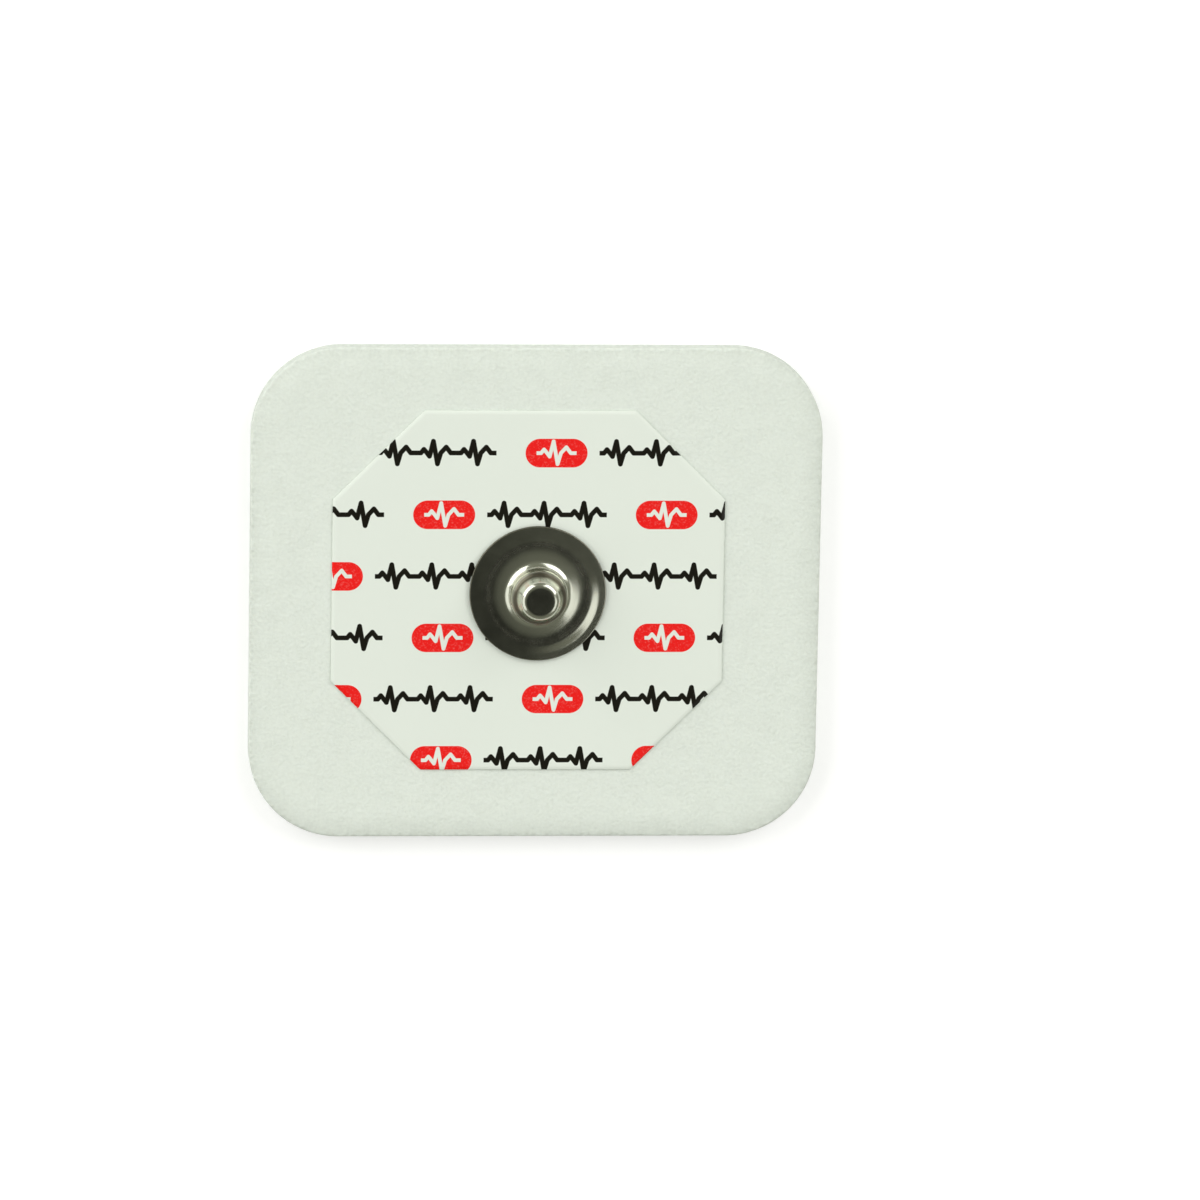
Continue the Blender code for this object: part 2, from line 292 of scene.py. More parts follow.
def foam_mesh():
    """The pad as a grid of section points by ring points, with a fine unevenness on its top.

    Two attributes go with it. "edge" is 1 at the cut edge and dies away over the shoulder,
    and "around" bends the way along the pad's outline into a circle of the same length, so
    that a pattern on it closes without a seam.
    """
    centre = (pad_low + pad_high) / 2
    half = (pad_high - pad_low) / 2
    x, y = half.x - PAD_CORNER_RADIUS, half.y - PAD_CORNER_RADIUS
    corners = np.array([(x, -y), (x, y), (-x, y), (-x, -y)]) + (centre.x, centre.y)
    centres, directions = ring_of(corners, side_steps=90, corner_steps=36)
    reach, height, share = foam_section()
    ring = centres + directions * reach[:, None, None]
    polar = np.arctan2(*(ring[-1] - (snap_x, snap_y)).T[::-1])
    well = WELL_RADIUS * np.stack([np.cos(polar), np.sin(polar)], axis=-1) + (snap_x, snap_y)
    blend = share[:, None, None]
    plan = ring * (1 - blend) + well * blend
    z = np.repeat(height[:, None], len(centres), axis=1)
    crown = np.clip(height / (pad_high.z - pad_low.z), 0.0, 1.0)[:, None] ** 4
    z = z + crown * PAD_RIPPLE * (ripple(plan[..., 0], plan[..., 1], 0.0012, 0.0060, seed=4) - 2)
    points = np.concatenate([plan, pad_low.z + z[..., None]], axis=-1)
    mesh = ring_mesh("foam_tape_pad", points, closed_section=True)
    inset = PAD_CORNER_RADIUS - reach
    edge = np.exp(-np.maximum(inset - PAD_UPPER_ROUND, 0.0) / (PAD_SHOULDER / 3)) * (share == 0)
    attribute = mesh.attributes.new("edge", "FLOAT", "POINT")
    attribute.data.foreach_set("value", np.repeat(edge, len(centres)).astype(np.float32))
    outline = centres + directions * PAD_CORNER_RADIUS
    steps = np.linalg.norm(np.roll(outline, -1, axis=0) - outline, axis=1)
    phase = (np.cumsum(steps) - steps) / steps.sum() * math.tau
    circle = np.stack([np.cos(phase), np.sin(phase), phase * 0], axis=-1) * steps.sum() / math.tau
    attribute = mesh.attributes.new("around", "FLOAT_VECTOR", "POINT")
    attribute.data.foreach_set("vector", np.tile(circle, (len(reach), 1)).reshape(-1).astype(np.float32))
    return mesh


def foam_material():
    """Matt white foam with soft cell marks and a clear adhesive coat on the skin side.

    Fine puckers run across the squeezed shoulder, and the outer wall shows the cells that the
    blade has opened.
    """
    material, nodes, surface = new_material(
        "white_foam", Roughness=0.85, Coat_Roughness=0.18, Subsurface_Weight=0.15, IOR=1.35
    )
    surface["Subsurface Radius"].default_value = (1.0, 0.95, 0.85)
    surface["Subsurface Scale"].default_value = 0.0006
    place = nodes.node("ShaderNodeTexCoord", output="Object")
    height = nodes.node("ShaderNodeSeparateXYZ", {}, {0: place}, "Z")
    edge = nodes.node("ShaderNodeAttribute", {"attribute_name": "edge"}, {}, "Fac")
    cloud = nodes.noise(place, 0.0016)
    grain = nodes.noise(place, 0.00022, detail=3.0)
    sockets = {"Vector": place, "Scale": 1 / FOAM_CELL, "Smoothness": 0.35}
    cells = nodes.node("ShaderNodeTexVoronoi", {"feature": "SMOOTH_F1"}, sockets, "Distance")
    around = nodes.node("ShaderNodeAttribute", {"attribute_name": "around"}, {}, "Vector")
    pucker = nodes.noise(around, 0.00032)
    cut = ((edge - 0.93) / 0.05).math("MAXIMUM", 0.0).math("MINIMUM", 1.0)
    opened = (0.55 - cells) * cut
    # The edge term darkens the foam towards its cut edge and on the wall: painted shade of the rounded
    # shoulder.
    tone = (cloud - 0.5) * 0.5 + (grain - 0.5) * 1.1 + (0.5 - pucker) * edge * 0.9 + edge * 0.50 + 0.10
    tone = tone + opened * 0.8
    nodes.feed(surface["Base Color"], nodes.mix(tone.math("MAXIMUM", 0.0), FOAM_COLOUR, FOAM_DEEP_COLOUR))
    below = ((COAT_HEIGHT - height) / COAT_FADE).math("MINIMUM", 1.0).math("MAXIMUM", 0.0)
    nodes.feed(surface["Coat Weight"], below * 0.8)
    nodes.feed(surface["Roughness"], 0.88 - below * 0.45)
    relief = cells * 0.6 + grain * 1.1 + cloud * 0.5 + pucker * edge * 0.9 - opened * 1.4
    nodes.feed(surface["Normal"], nodes.bump(relief, 0.000030))
    return material


pad_low, pad_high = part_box("foam_pad")
stud_low, stud_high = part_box("snap_stud")
snap_x, snap_y = (stud_low.x + stud_high.x) / 2, (stud_low.y + stud_high.y) / 2

foam_pad = finish_piece("foam_tape_pad", foam_mesh(), foam_material())
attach(foam_pad, "root")
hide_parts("foam_pad")


# Sensor eyelet. A small moulded plastic eyelet with a dull grey coat of silver and silver
# chloride. Its flange lies flat under the label and its solid post goes up through the
# label's hole, where the stud is pressed over it.

POST_RADIUS = 0.00159
POST_HEAD_ROUND = 0.00035
EYELET_EDGE_ROUND = 0.00015
EYELET_DISH = 0.00004
EYELET_COLOUR = (0.305, 0.300, 0.290, 1.0)
EYELET_DARK_COLOUR = (0.200, 0.195, 0.190, 1.0)
TURN_STEPS = 160


def turned_points(radius, height, columns=TURN_STEPS):
    """Points of a surface turned about the snap axis, one ring for each (radius, height)."""
    angle = np.arange(columns) / columns * math.tau
    x = snap_x + radius[:, None] * np.cos(angle)
    y = snap_y + radius[:, None] * np.sin(angle)
    return np.stack([x, y, np.repeat(height[:, None], columns, axis=1)], axis=-1)


def eyelet_mesh():
    """The eyelet's outline from the top of its post down to the middle of its flange.

    The flange's lower face is a shallow dish, as deep as a square of the radius makes it.
    """
    low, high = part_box("sensor_eyelet")
    flange_radius = (high.x - low.x) / 2
    flange_top = pad_high.z
    sine, cosine = quarter(6)
    head_r = POST_RADIUS - POST_HEAD_ROUND + POST_HEAD_ROUND * sine
    head_z = high.z - POST_HEAD_ROUND + POST_HEAD_ROUND * cosine
    rim = flange_radius - EYELET_EDGE_ROUND
    face = np.linspace(rim, 0.0, 24)[1:]
    radius = np.concatenate(
        [
            [0.0],
            head_r,
            np.full(4, POST_RADIUS),
            np.linspace(POST_RADIUS, rim, 8)[1:-1],
            rim + EYELET_EDGE_ROUND * sine,
            rim + EYELET_EDGE_ROUND * cosine,
            face,
        ]
    )
    height = np.concatenate(
        [
            [high.z],
            head_z,
            np.linspace(head_z[-1], flange_top, 5)[1:],
            np.full(6, flange_top),
            flange_top - EYELET_EDGE_ROUND * (1 - cosine),
            low.z + EYELET_EDGE_ROUND * (1 - sine),
            low.z + EYELET_DISH * (1 - (face / rim) ** 2),
        ]
    )
    return ring_mesh("coated_eyelet", turned_points(radius, height), closed_section=False)


def eyelet_material():
    """Dull grey silver chloride with darker specks, as a dipped and dried coat leaves them."""
    material, nodes, surface = new_material("silver_chloride_coat", Metallic=0.35, Roughness=0.5)
    place = nodes.node("ShaderNodeTexCoord", output="Object")
    patches = nodes.noise(place, 0.0011, detail=4.0)
    specks = nodes.noise(place, 0.00012)
    tone = (patches - 0.35) * 1.4 + (specks - 0.5) * 0.6
    level = tone.math("MAXIMUM", 0.0).math("MINIMUM", 1.0)
    nodes.feed(surface["Base Color"], nodes.mix(level, EYELET_COLOUR, EYELET_DARK_COLOUR))
    nodes.feed(surface["Roughness"], 0.42 + level * 0.2)
    nodes.feed(surface["Normal"], nodes.bump(specks + patches, 0.00001))
    return material


eyelet = finish_piece("coated_eyelet", eyelet_mesh(), eyelet_material())
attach(eyelet, "root")
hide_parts("sensor_eyelet")


# Cover label. A thin white film with its four corners cut off, glued down over the well. It
# closes the well from above and carries the print, rows of pulse traces and red lozenges
# that run off its cut edges.

LABEL_CORNER_CUT = 0.00635
LABEL_CORNER_ROUND = 0.00035
LABEL_EDGE_SLOPE = 0.00030
LABEL_EDGE_DROP = 0.00006
LABEL_EDGE_POWER = 1.8
LABEL_RIPPLE = 0.000004
LABEL_HOLE_RADIUS = 0.00163
LABEL_GLUE = 0.00002
UNPRINTED_HEIGHT = 0.00003
FILM_COLOUR = (0.768, 0.817, 0.746, 1.0)
BLACK_INK = (0.007, 0.006, 0.003, 1.0)
RED_INK = (0.86, 0.004, 0.002, 1.0)

PRINT_START_X_MM = -11.3
PRINT_START_Y_MM = -0.9
PRINT_REPEAT_MM = 15.6
PRINT_ROW_MM = 4.4
BEAT_MM = 2.8
BEATS_IN_BLACK = 3
LOZENGE_CENTRE_MM = 12.6
LOZENGE_HALF_LENGTH_MM = 1.15
LOZENGE_RADIUS_MM = 1.02
BLACK_STROKE_MM = 0.34
WHITE_STROKE_MM = 0.26
INK_EDGE_MM = 0.03
PULSE = (
    (0.00, 0.00),
    (0.32, 0.00),
    (0.52, 0.26),
    (0.74, 0.00),
    (0.92, -0.24),
    (1.18, 0.84),
    (1.48, -0.78),
    (1.70, 0.00),
    (2.08, 0.42),
    (2.40, 0.00),
    (2.80, 0.00),
)


def label_mesh():
    """The film as a ring between its eight-sided outline and the hole for the post.

    The die presses the film's edge down, so the top drops by LABEL_EDGE_DROP times a power of
    the share of the slope that is passed, and ends in an upright cut.
    Inside the slope, the plan goes from the outline to the hole in equal shares.
    """
    low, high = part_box("cover_label")
    bottom = pad_high.z + LABEL_GLUE
    cut, rounding = LABEL_CORNER_CUT, LABEL_CORNER_ROUND
    # Moving every side in by the rounding shortens the straight sides by tan(22.5 degrees)
    inset = rounding * math.tan(math.pi / 8)
    x0, x1, y0, y1 = low.x, high.x, low.y, high.y
    corners = np.array(
        [
            (x1 - rounding, y0 + cut + inset),
            (x1 - rounding, y1 - cut - inset),
            (x1 - cut - inset, y1 - rounding),
            (x0 + cut + inset, y1 - rounding),
            (x0 + rounding, y1 - cut - inset),
            (x0 + rounding, y0 + cut + inset),
            (x0 + cut + inset, y0 + rounding),
            (x1 - cut - inset, y0 + rounding),
        ]
    )
    centres, directions = ring_of(corners, side_steps=36, corner_steps=5)
    slope = np.linspace(0.0, 1.0, 12)
    cut_z = np.linspace(high.z - LABEL_EDGE_DROP, bottom, 4)[1:]
    below = np.linspace(0.0, 1.0, 9)[1:]
    above = np.linspace(1.0, 0.0, 41)[:-1]
    inner = rounding - LABEL_EDGE_SLOPE
    outer = np.full(len(cut_z) + len(below), rounding)
    reach = np.concatenate([inner + LABEL_EDGE_SLOPE * slope, outer, np.full_like(above, inner)])
    sloped = high.z - LABEL_EDGE_DROP * slope**LABEL_EDGE_POWER
    height = np.concatenate([sloped, cut_z, np.full_like(below, bottom), np.full_like(above, high.z)])
    share = np.concatenate([np.zeros(len(slope) + len(cut_z)), below, above])
    ring = centres + directions * reach[:, None, None]
    polar = np.arctan2(*(ring[0] - (snap_x, snap_y)).T[::-1])
    hole = LABEL_HOLE_RADIUS * np.stack([np.cos(polar), np.sin(polar)], axis=-1) + (snap_x, snap_y)
    blend = share[:, None, None]
    plan = ring * (1 - blend) + hole * blend
    wave = LABEL_RIPPLE * (ripple(plan[..., 0], plan[..., 1], 0.0030, 0.0110, seed=9) - 2)
    upper = (height > (bottom + high.z) / 2)[:, None]
    z = height[:, None] + wave * upper
    points = np.concatenate([plan, z[..., None]], axis=-1)
    return ring_mesh("printed_label", points, closed_section=True)


def label_material():
    """White film with generic print.

    A row's trace is the least distance to the straight pieces of one heartbeat, which
    repeats along the row. It is black for three beats, and white where it crosses the red
    lozenge. Every second row is shifted by half a repeat. The film's underside has no ink.
    """
    material, nodes, surface = new_material("printed_film", Roughness=0.3, IOR=1.38)
    place = nodes.node("ShaderNodeTexCoord", output="Object")
    x_metres = nodes.node("ShaderNodeSeparateXYZ", {}, {0: place}, "X")
    y_metres = nodes.node("ShaderNodeSeparateXYZ", {}, {0: place}, "Y")
    x = x_metres * 1000 - PRINT_START_X_MM
    y = y_metres * 1000 - PRINT_START_Y_MM
    row = (y / PRINT_ROW_MM).math("FLOOR")
    shifted = row.math("FLOORED_MODULO", 2.0) * (PRINT_REPEAT_MM / 2) + x
    along = shifted.math("FLOORED_MODULO", PRINT_REPEAT_MM)
    across = y - (row + 0.5) * PRINT_ROW_MM
    in_beat = along.math("FLOORED_MODULO", BEAT_MM)
    point = nodes.node("ShaderNodeCombineXYZ", {}, {"X": in_beat, "Y": across})

    def vector(operation, first, second, output=0):
        return nodes.node("ShaderNodeVectorMath", {"operation": operation}, {0: first, 1: second}, output)

    def inside(signed_distance):
        return (0.5 - signed_distance / INK_EDGE_MM).math("MAXIMUM", 0.0).math("MINIMUM", 1.0)

    distance = None
    for start, end in zip(PULSE, PULSE[1:]):
        run = (end[0] - start[0], end[1] - start[1], 0.0)
        square = run[0] ** 2 + run[1] ** 2
        offset = vector("SUBTRACT", point, (*start, 0.0))
        share = vector("DOT_PRODUCT", offset, tuple(part / square for part in run), "Value")
        share = share.math("MAXIMUM", 0.0).math("MINIMUM", 1.0)
        foot = nodes.node("ShaderNodeVectorMath", {"operation": "SCALE"}, {0: run, "Scale": share})
        gap = vector("DISTANCE", offset, foot, "Value")
        distance = distance.math("MINIMUM", gap) if distance else gap

    black_length = BEAT_MM * BEATS_IN_BLACK
    black = inside(distance - BLACK_STROKE_MM / 2) * inside(along - black_length) * inside(0.0 - along)
    beyond = (abs(along - LOZENGE_CENTRE_MM) - LOZENGE_HALF_LENGTH_MM).math("MAXIMUM", 0.0)
    round_end = (beyond * beyond + across * across).math("SQRT")
    lozenge = inside(round_end - LOZENGE_RADIUS_MM)
    half_beat = inside(abs(along - LOZENGE_CENTRE_MM) - BEAT_MM / 2)
    white = inside(distance - WHITE_STROKE_MM / 2) * half_beat
    blotch = nodes.noise(place, 0.00013)
    cover = (1.24 - blotch * 0.46).math("MINIMUM", 1.0)
    height = nodes.node("ShaderNodeSeparateXYZ", {}, {0: place}, "Z")
    upper_side = height.math("GREATER_THAN", pad_high.z + LABEL_GLUE + UNPRINTED_HEIGHT)
    colour = nodes.mix(black * upper_side, FILM_COLOUR, BLACK_INK)
    colour = nodes.mix(lozenge * (1 - white) * cover * upper_side, colour, RED_INK)
    nodes.feed(surface["Base Color"], colour)
    haze = nodes.noise(place, 0.0024, detail=3.0)
    nodes.feed(surface["Roughness"], 0.26 + haze * 0.10)
    nodes.feed(surface["Normal"], nodes.bump(haze + blotch * 0.25, 0.000010))
    return material


label = finish_piece("printed_label", label_mesh(), label_material())
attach(label, "root")
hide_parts("cover_label")


# Snap stud. A hollow stud pressed from one disc of nickel-plated sheet: flat nub, ball, neck,
# dished flange and a rim that slopes down a little. Pressing it onto the eyelet has bent the
# rim down further on one side, over a short step that shines.

SHEET = 0.00020
FLANGE_RADIUS = 0.0048
DISH_RADIUS = 0.0035
RIM_DROOP = math.radians(4)
RIM_DROOP_START = 0.00030
RIM_CORNER_ROUND = 0.00005
BENT_SIDE = math.radians(-38)
BENT_HALF_WIDTH = math.radians(66)
BENT_FADE = math.radians(58)
# Radius from the snap axis, and how far the bent side lies above or below the rest there
BENT_SHIFTS = (
    (0.00225, 0.0),
    (0.00298, -0.000026),
    (0.00352, 0.00001),
    (0.00370, 0.00001),
    (0.00436, -0.000095),
)
DISH_BEND = 0.0040
FOOT_BEND = 0.00075
NECK_UNDERCUT = 0.00015
NECK_BEND = 0.00012
BALL_RADIUS = 0.00198
BALL_BEND = 0.00020
VALLEY_BEND = 0.00012
VALLEY_LEAN = math.radians(65)
NUB_FLAT_RADIUS = 0.00092
NUB_BEND = 0.00033
NUB_HEIGHT = 0.00102
BEND_SPACING = 0.00002
BEND_STEP = math.radians(4)
STUD_COLUMNS = 240
NICKEL_COLOUR = (0.583, 0.595, 0.505, 1.0)
# Brown of the tarnish and of the painted shade in the stud's recesses
TARNISH_AND_SHADE_COLOUR = (0.090, 0.080, 0.056, 1.0)


def stud_rollers(dish_end_z):
    """Rollers (r, z, signed bend) that the stud's upper skin runs over and under.

    They go from the nub out to the dish, which ends level where the rim begins. A crowned
    bend is the inner radius plus the sheet, a hollow one is the inner radius itself and is
    negative. Each roller's place follows from the one below it: dish, foot, neck, ball,
    valley and nub.
    """
    dish_z = dish_end_z + DISH_BEND
    ball_bend = BALL_BEND + SHEET
    ball_r = BALL_RADIUS - ball_bend
    neck_radius = BALL_RADIUS - NECK_UNDERCUT
    foot_r = neck_radius + FOOT_BEND
    dish_reach = DISH_BEND - FOOT_BEND + BEND_SPACING
    foot_z = dish_z - math.sqrt(dish_reach**2 - (DISH_RADIUS - foot_r) ** 2)
    neck_r = neck_radius + NECK_BEND
    neck_z = foot_z + BEND_SPACING
    neck_reach = ball_bend + NECK_BEND + BEND_SPACING
    ball_z = neck_z + math.sqrt(neck_reach**2 - (neck_r - ball_r) ** 2)
    valley_reach = ball_bend + VALLEY_BEND + BEND_SPACING
    valley_r = ball_r + valley_reach * math.cos(VALLEY_LEAN)
    valley_z = ball_z + valley_reach * math.sin(VALLEY_LEAN)
    nub_bend = NUB_BEND + SHEET
    nub_z = ball_z + ball_bend + NUB_HEIGHT - nub_bend
    return (
        (NUB_FLAT_RADIUS, nub_z, nub_bend),
        (valley_r, valley_z, -VALLEY_BEND),
        (ball_r, ball_z, ball_bend),
        (neck_r, neck_z, -NECK_BEND),
        (foot_r, foot_z, -FOOT_BEND),
        (DISH_RADIUS, dish_z, -DISH_BEND),
    )


def skin(rollers, inset):
    """The (r, z) points of a sheet's skin, wrapped over rollers like a belt, level at both ends.

    Between two rollers the skin is the straight line that touches both, so its normal is the
    heading between their centres plus the arc cosine of (bend1 - bend2) / distance. On a
    roller it is an arc of radius bend - inset from one such normal to the next.
    """
    r, z, bend = np.array(rollers).T
    heading = np.arctan2(np.diff(z), np.diff(r))
    between = heading + np.arccos(-np.diff(bend) / np.hypot(np.diff(r), np.diff(z)))
    first = np.concatenate([[math.pi / 2], between])
    last = np.concatenate([between, [math.pi / 2]])
    arcs = []
    for centre_r, centre_z, radius, start, end in zip(r, z, bend - inset, first, last):
        steps = max(2, math.ceil(abs(end - start) / BEND_STEP))
        angle = np.linspace(start, end, steps + 1)
        arcs.append(np.stack([centre_r + radius * np.cos(angle), centre_z + radius * np.sin(angle)], -1))
    return np.concatenate(arcs)


def smooth_step(share):
    """0 below 0 and 1 above 1, with an S between them: 3 * share squared - 2 * share cubed."""
    share = np.clip(share, 0.0, 1.0)
    return share * share * (3 - 2 * share)


def flange_shift(radius, angle):
    """How far the flange stands above or below a level sheet at each (radius, angle).

    Beyond the dish the rim turns down smoothly into a straight slope. On the bent side
    the shifts of BENT_SHIFTS are added to it, joined by smooth steps, and round the axis they
    fade out by a smooth step of the angle.
    """
    beside = np.abs((angle - BENT_SIDE + math.pi) % math.tau - math.pi)
    bent = smooth_step((BENT_HALF_WIDTH - beside) / BENT_FADE)
    shift = np.zeros_like(radius)
    for (near, before), (far, after) in zip(BENT_SHIFTS, BENT_SHIFTS[1:]):
        shift += (after - before) * smooth_step((radius - near) / (far - near))
    out = np.maximum(radius - DISH_RADIUS, 0.0)
    start = RIM_DROOP_START
    sloping = np.where(out < start, out * out / (2 * start), out - start / 2)
    return shift[:, None] * bent - math.tan(RIM_DROOP) * sloping[:, None]


def stud_mesh(dish_end_z):
    """The stud's rings: out along the upper skin to the rim's edge, and back along the lower."""
    rollers = stud_rollers(dish_end_z)
    upper = skin(rollers, 0.0)
    lower = skin(rollers, SHEET)
    edge_r = FLANGE_RADIUS - RIM_CORNER_ROUND
    rim_r = np.linspace(DISH_RADIUS, edge_r, 40)[1:-1]
    rim_z = np.full(len(rim_r), dish_end_z)
    sine, cosine = quarter(3)
    corner_r = np.concatenate([edge_r + RIM_CORNER_ROUND * sine, edge_r + RIM_CORNER_ROUND * cosine])
    corner_z = np.concatenate([RIM_CORNER_ROUND * (cosine - 1), RIM_CORNER_ROUND * (1 - sine) - SHEET])
    flat_r = np.linspace(0.0, NUB_FLAT_RADIUS, 6)[:-1]
    flat_z = np.full(len(flat_r), upper[0, 1])
    radius = np.concatenate(
        [flat_r, upper[:, 0], rim_r, corner_r, rim_r[::-1], lower[::-1, 0], flat_r[::-1]]
    )
    height = np.concatenate(
        [
            flat_z,
            upper[:, 1],
            rim_z,
            dish_end_z + corner_z,
            rim_z - SHEET,
            lower[::-1, 1],
            flat_z - SHEET,
        ]
    )
    points = turned_points(radius, height, columns=STUD_COLUMNS)
    angle = np.arange(STUD_COLUMNS) / STUD_COLUMNS * math.tau
    points[..., 2] += flange_shift(radius, angle)
    return ring_mesh("pressed_stud", points, closed_section=False)


def stud_material(dish_end_z):
    """Bright nickel with fine ring marks, brown tarnish in its recesses and a dull raw edge.

    The ring marks are left by the press tool, and the raw edge is where the disc was cut from
    the sheet. The darkening in the recesses is partly tarnish and partly painted shade.
    """
    material, nodes, surface = new_material("polished_nickel", Metallic=1.0, Roughness=0.2)
    place = nodes.node("ShaderNodeTexCoord", output="Object")
    mapped = nodes.node("ShaderNodeMapping", {}, {"Vector": place, "Location": (-snap_x, -snap_y, 0.0)})
    x = nodes.node("ShaderNodeSeparateXYZ", {}, {0: mapped}, "X")
    y = nodes.node("ShaderNodeSeparateXYZ", {}, {0: mapped}, "Y")
    height_mm = nodes.node("ShaderNodeSeparateXYZ", {}, {0: mapped}, "Z") * 1000
    radius_mm = (x * x + y * y).math("SQRT") * 1000

    def recess(centre, reach_mm):
        """Fades from 1 at a ring through a section point to 0 at this reach from it."""
        across = radius_mm - centre[0] * 1000
        above = height_mm - centre[1] * 1000
        distance = (across * across + above * above).math("SQRT")
        return (1 - distance / reach_mm).math("MAXIMUM", 0.0)

    _, valley, _, neck, _, _ = stud_rollers(dish_end_z)
    rings = nodes.node("ShaderNodeTexNoise", {"noise_dimensions": "1D"}, {"W": radius_mm * 9, "Detail": 3.0})
    smear = nodes.noise(place, 0.0009, detail=3.0)
    fine = nodes.noise(place, 0.00007)
    # Painted shade, partly tarnish: the colour darkens where the rim begins, in the valley under the nub and
    # round the neck, where shade falls.
    rim_start = recess((DISH_RADIUS, dish_end_z), 0.30) * smear
    raw_edge = (radius_mm - (FLANGE_RADIUS - RIM_CORNER_ROUND) * 1000) / (RIM_CORNER_ROUND * 500)
    raw_edge = raw_edge.math("MAXIMUM", 0.0)
    hollows = recess(valley, 0.46) * (smear * 0.5 + 1.2) + recess(neck, 0.50) * 1.5
    tarnish_and_shade = (hollows + rim_start + raw_edge).math("MINIMUM", 0.95)
    nodes.feed(surface["Base Color"], nodes.mix(tarnish_and_shade, NICKEL_COLOUR, TARNISH_AND_SHADE_COLOUR))
    nodes.feed(surface["Roughness"], 0.10 + smear * 0.10 + fine * 0.05 + tarnish_and_shade * 0.20)
    nodes.feed(surface["Normal"], nodes.bump(rings * 0.6 + fine * 0.4, 0.0000020))
    return material


nub = stud_rollers(0.0)[0]
dish_end_z = stud_high.z - (nub[1] + nub[2])

stud = finish_piece("pressed_stud", stud_mesh(dish_end_z), stud_material(dish_end_z))
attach(stud, "root")
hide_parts("snap_stud")


# Conductive gel. Clear, tacky solid gel cast into the well over the eyelet. It wets the well's
# wall, so its open face is a shallow meniscus, and small bubbles are caught in it.

GEL_EDGE_ROUND = 0.00020
GEL_MENISCUS = 0.00006
GEL_RECESS_GAP = 0.00004
GEL_COLOUR = (0.86, 0.93, 0.94, 1.0)


def gel_mesh():
    """The gel from the middle of its open face, round its edge and into the eyelet's recess.

    The open face is hollow: its height falls with the square of the radius.
    """
    low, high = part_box("gel_disc")
    radius = (high.x - low.x) / 2
    eyelet_low, eyelet_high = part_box("sensor_eyelet")
    recess_r = (eyelet_high.x - eyelet_low.x) / 2 + GEL_RECESS_GAP
    recess_z = eyelet_low.z - GEL_RECESS_GAP
    rim = radius - GEL_EDGE_ROUND
    sine, cosine = quarter(6)
    face = np.linspace(0.0, rim, 30)[:-1]
    r = np.concatenate(
        [face, rim + GEL_EDGE_ROUND * sine, np.full(6, radius), [recess_r, recess_r], [recess_r / 2, 0.0]]
    )
    z = np.concatenate(
        [
            low.z + GEL_MENISCUS * (1 - (face / rim) ** 2),
            low.z + GEL_EDGE_ROUND * (1 - cosine),
            np.linspace(low.z + GEL_EDGE_ROUND, high.z, 7)[1:],
            [high.z, recess_z],
            [recess_z, recess_z],
        ]
    )
    return ring_mesh("clear_gel", turned_points(r, z), closed_section=False)


def gel_material():
    """Clear gel with a faint cool tint, a wet face and bubbles that show as small lenses."""
    material, nodes, surface = new_material("clear_gel", Roughness=0.06, IOR=1.36, Transmission_Weight=0.9)
    place = nodes.node("ShaderNodeTexCoord", output="Object")
    waves = nodes.noise(place, 0.0021)
    sockets = {"Vector": place, "Scale": 1 / 0.0013, "Randomness": 1.0}
    bubbles = nodes.node("ShaderNodeTexVoronoi", {}, sockets, "Distance")
    spot = (1 - bubbles / 0.16).math("MAXIMUM", 0.0)
    nodes.feed(surface["Base Color"], nodes.mix(spot, GEL_COLOUR, (1.0, 1.0, 1.0, 1.0)))
    nodes.feed(surface["Roughness"], 0.05 + waves * 0.08)
    nodes.feed(surface["Normal"], nodes.bump(waves + spot * 0.4, 0.00004))
    return material


gel = finish_piece("clear_gel", gel_mesh(), gel_material())
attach(gel, "root")
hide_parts("gel_disc")


# Table. A plain white sheet under the electrode that takes its soft shadow.

TABLE_HALF_SIDE = 1.5
TABLE_COLOUR = (0.74, 0.74, 0.74, 1.0)
TABLE_GLOW = 0.36

far = TABLE_HALF_SIDE
table_corners = [(-far, -far, 0.0), (far, -far, 0.0), (far, far, 0.0), (-far, far, 0.0)]
table_mesh = bpy.data.meshes.new("table")
table_mesh.from_pydata(table_corners, [], [(0, 1, 2, 3)])
table_material, nodes, surface = new_material("white_table", Base_Color=TABLE_COLOUR, Roughness=0.9)
table_mesh.materials.append(table_material)
in_view = nodes.node("ShaderNodeLightPath", output="Is Camera Ray")
in_gloss = nodes.node("ShaderNodeLightPath", output="Is Glossy Ray")
through_gel = nodes.node("ShaderNodeLightPath", output="Is Transmission Ray")
seen = (in_view + in_gloss + through_gel).math("MINIMUM", 1.0)
surface["Emission Color"].default_value = (TABLE_GLOW, TABLE_GLOW, TABLE_GLOW, 1.0)
nodes.feed(surface["Emission Strength"], seen)
table = bpy.data.objects.new("table", table_mesh)
bpy.context.scene.collection.objects.link(table)


# Light. Two large softboxes stand behind the electrode, to its left and right, and a dim card
# stands in front on either side. An overhead softbox evens the light on the foam, and is kept
# out of the metal's reflections, as a polarised lamp is. The room is dark round the camera.

LAMP_DISTANCE = 2.0


def soft_lamp(name, azimuth, elevation, width, height, radiance):
    """A rectangle of light that faces the electrode. Azimuth runs clockwise from +Y, in degrees.

    Its power is radiance * pi * area.
    """
    turn, tilt = math.radians(azimuth), math.radians(elevation)
    outwards = Vector((math.sin(turn) * math.cos(tilt), math.cos(turn) * math.cos(tilt), math.sin(tilt)))
    light = bpy.data.lights.new(name, "AREA")
    light.shape = "RECTANGLE"
    light.size = width
    light.size_y = height
    light.energy = radiance * math.pi * width * height
    lamp = bpy.data.objects.new(name, light)
    lamp.location = outwards * LAMP_DISTANCE
    lamp.rotation_euler = outwards.to_track_quat("Z", "Y").to_euler()
    bpy.context.scene.collection.objects.link(lamp)
    return lamp


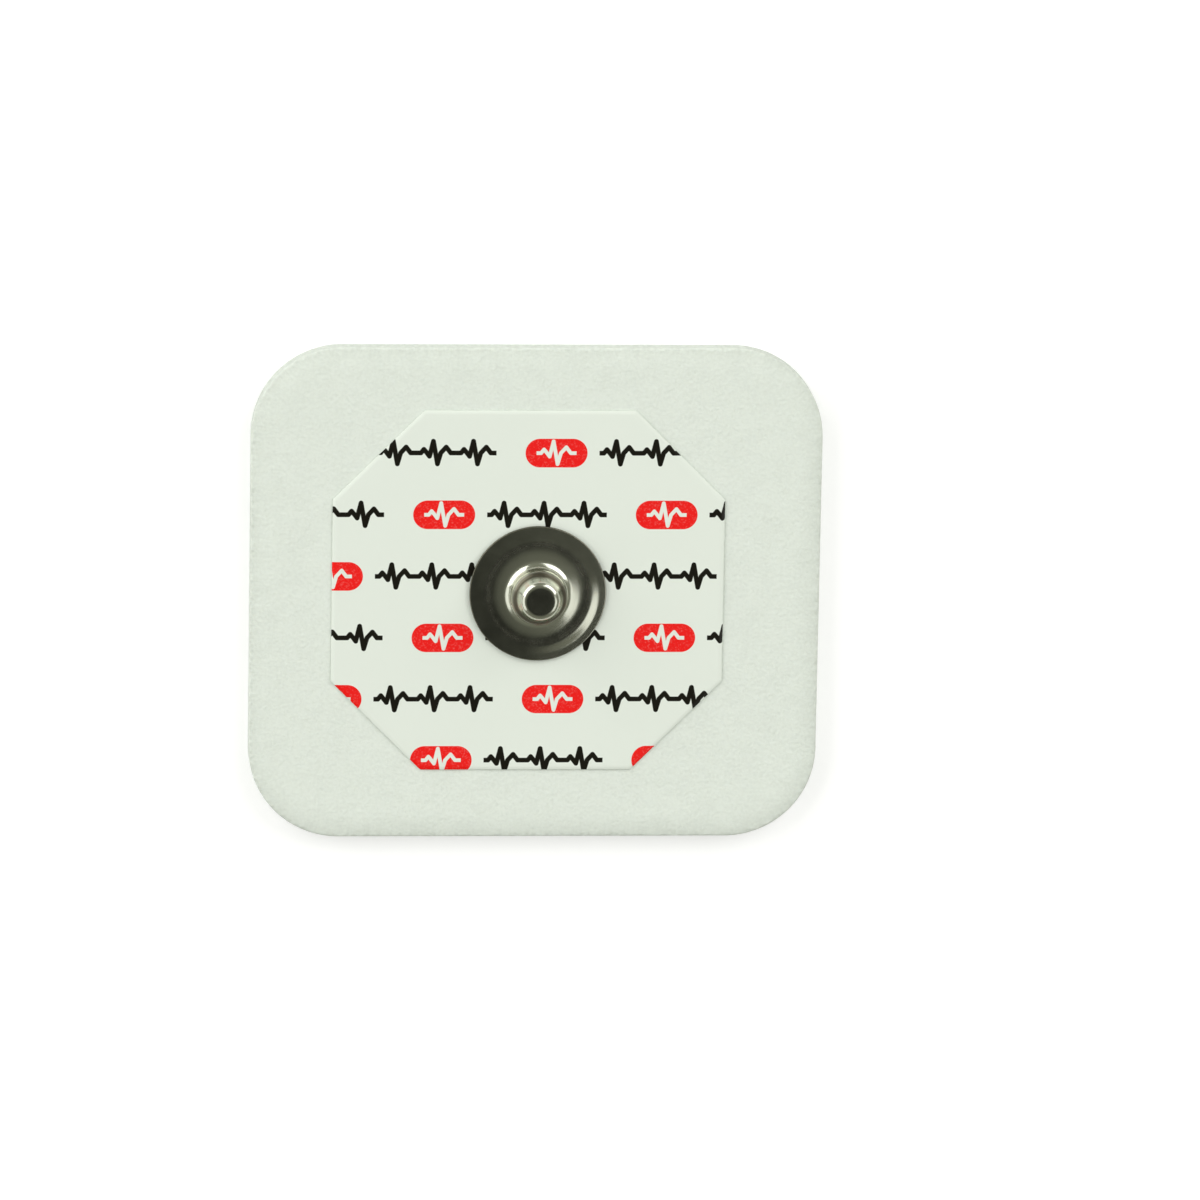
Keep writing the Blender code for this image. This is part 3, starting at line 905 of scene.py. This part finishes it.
soft_lamp("left_softbox", -54, 25, 1.95, 1.60, radiance=2.7)
soft_lamp("right_softbox", 49, 33, 1.60, 1.40, radiance=2.8)
soft_lamp("left_card", -110, 30, 1.55, 1.35, radiance=1.1)
soft_lamp("right_card", 117, 50, 1.05, 0.95, radiance=1.1)
overhead = soft_lamp("overhead_softbox", 0, 90, 2.00, 2.00, radiance=0.85)
overhead.visible_glossy = False

DARKEST = Vector((0.02, -0.24, 0.970)).normalized()
# Degrees away from the darkest direction, and the room's radiance there
ROOM_STOPS = (
    (0, 0.004),
    (5, 0.013),
    (8, 0.038),
    (12, 0.084),
    (20, 0.150),
    (30, 0.195),
    (45, 0.220),
    (60, 0.270),
    (90, 0.300),
)
ROOM_TINT = (0.98, 1.0, 0.82, 1.0)

world = bpy.data.worlds.new("room")
world.use_nodes = True
bpy.context.scene.world = world
nodes = Nodes(world.node_tree)
direction = nodes.node("ShaderNodeTexCoord", output="Generated")
sockets = {0: direction, 1: DARKEST}
facing = nodes.node("ShaderNodeVectorMath", {"operation": "DOT_PRODUCT"}, sockets, "Value")
away = facing.math("ARCCOSINE") / (math.pi / 2)
stops = [(degrees / 90, radiance) for degrees, radiance in ROOM_STOPS]
level = nodes.node("ShaderNodeValToRGB", {"stops": stops}, {0: away})
background = world.node_tree.nodes["Background"]
background.inputs["Color"].default_value = ROOM_TINT
nodes.feed(background.inputs["Strength"], level)


# Camera. It looks down on the electrode from a little behind and to the left, so that the
# stud leans to the right and the pad's upper edge shows its wall.

VIEW_DIRECTION = Vector((-0.082, 0.210, 0.974)).normalized()
LENS_MM = 257.0
SENSOR_MM = 36.0
CAMERA_DISTANCE = 0.6
IMAGE_PIXELS = 1200
PAD_CENTRE_PIXEL = (535.6, 594.2)

pixel = CAMERA_DISTANCE * SENSOR_MM / LENS_MM / IMAGE_PIXELS
right = (Vector((1, 0, 0)) - VIEW_DIRECTION * VIEW_DIRECTION.x).normalized()
up = VIEW_DIRECTION.cross(right)
aim = Vector((0.0, 0.0, pad_high.z))
aim += right * (IMAGE_PIXELS / 2 - PAD_CENTRE_PIXEL[0]) * pixel
aim -= up * (IMAGE_PIXELS / 2 - PAD_CENTRE_PIXEL[1]) * pixel
camera_data = bpy.data.cameras.new("camera")
camera_data.lens = LENS_MM
camera_data.sensor_width = SENSOR_MM
camera_data.clip_start = 0.01
camera_data.clip_end = 10.0
camera = bpy.data.objects.new("camera", camera_data)
camera.matrix_world = Matrix((right, up, VIEW_DIRECTION)).transposed().to_4x4()
camera.location = aim + VIEW_DIRECTION * CAMERA_DISTANCE
bpy.context.scene.collection.objects.link(camera)
bpy.context.scene.camera = camera
bpy.context.scene.view_settings.view_transform = "Standard"
